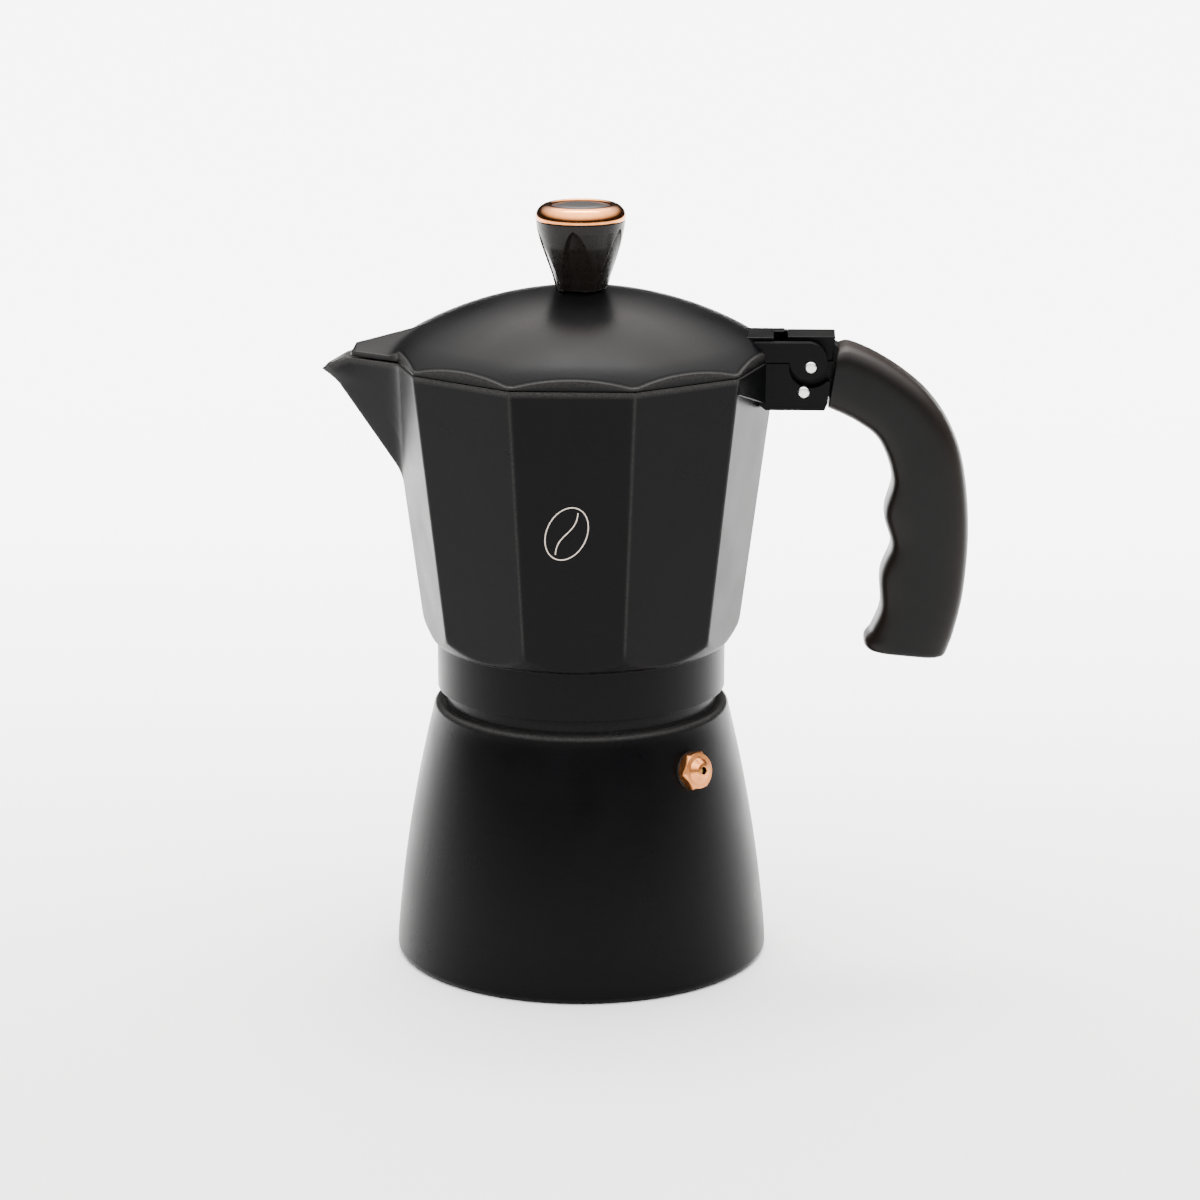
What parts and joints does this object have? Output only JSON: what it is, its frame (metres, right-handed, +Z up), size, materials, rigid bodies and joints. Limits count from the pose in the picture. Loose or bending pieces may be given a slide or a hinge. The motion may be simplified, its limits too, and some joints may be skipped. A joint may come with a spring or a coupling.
{
  "type": "moka pot",
  "caption": "Stovetop moka pot with a black ten-sided collector, hinged domed lid, curved grip handle and rose-gold knob ring.",
  "frame": {"origin": "centre of the boiler's flat underside, on the surface the pot stands on", "axes": "+Z up along the pot's axis, +X towards the handle, -X towards the spout, +Y to the left seen from the spout's side looking at the handle"},
  "size_m": [0.1711, 0.0998, 0.2034],
  "materials": {
    "coated_aluminium": "satin black high-temperature coating on cast aluminium",
    "bare_aluminium": "bare pressed and turned aluminium, matt",
    "copper_plated": "polished rose-gold coloured plating",
    "valve_brass": "turned brass",
    "silicone": "white food-grade silicone, matt",
    "spring_steel": "drawn stainless steel",
    "pin_steel": "bright stainless pin",
    "knob_resin": "gloss black phenolic resin",
    "handle_resin": "satin black phenolic resin"
  },
  "bodies": {
    "boiler": {"boiler": "coated_aluminium", "valve_body": "copper_plated", "valve_washer": "silicone", "valve_seat": "valve_brass"},
    "valve_poppet": {"valve_poppet": "valve_brass", "valve_spring": "spring_steel"},
    "funnel": {"funnel_basket": "bare_aluminium", "funnel_stem": "bare_aluminium", "funnel_screen": "bare_aluminium"},
    "seal_pack": {"gasket": "silicone", "filter_plate": "bare_aluminium"},
    "collector": {"collector": "coated_aluminium", "riser_column": "bare_aluminium", "handle": "handle_resin", "handle_pin": "pin_steel", "hinge_pin": "pin_steel"},
    "lid": {"lid": "coated_aluminium", "knob": "knob_resin", "knob_ring": "copper_plated", "knob_disc": "knob_resin", "knob_insert": "valve_brass", "knob_washer": "spring_steel", "knob_screw": "spring_steel"}
  },
  "joints": [
    {"name": "valve_lift", "type": "slide", "parent": "boiler", "child": "valve_poppet", "axis": [0.7082, -0.672, 0.2164], "range_m": [0, 0.0012], "stiffness_N_per_m": 1500, "springref_m": -0.002, "deforming": ["valve_spring"]},
    {"name": "lift_off", "type": "slide", "parent": "boiler", "child": "seal_pack", "axis": [0, 0, 1], "range_m": [0, 0.12]},
    {"name": "funnel_lift", "type": "slide", "parent": "boiler", "child": "funnel", "axis": [0, 0, 1], "range_m": [0, 0.06]},
    {"name": "unscrew", "type": "hinge", "parent": "seal_pack", "child": "collector", "pos_m": [0, 0, 0.08], "axis": [0, 0, 1], "range_deg": [0, 540]},
    {"name": "lid_hinge", "type": "hinge", "parent": "collector", "child": "lid", "pos_m": [0.0603, 0, 0.1622], "axis": [0, 1, 0], "range_deg": [0, 95]}
  ],
  "couplings": [
    {"joint": "funnel_lift", "follows": "lift_off", "ratio": 0.5}
  ]
}
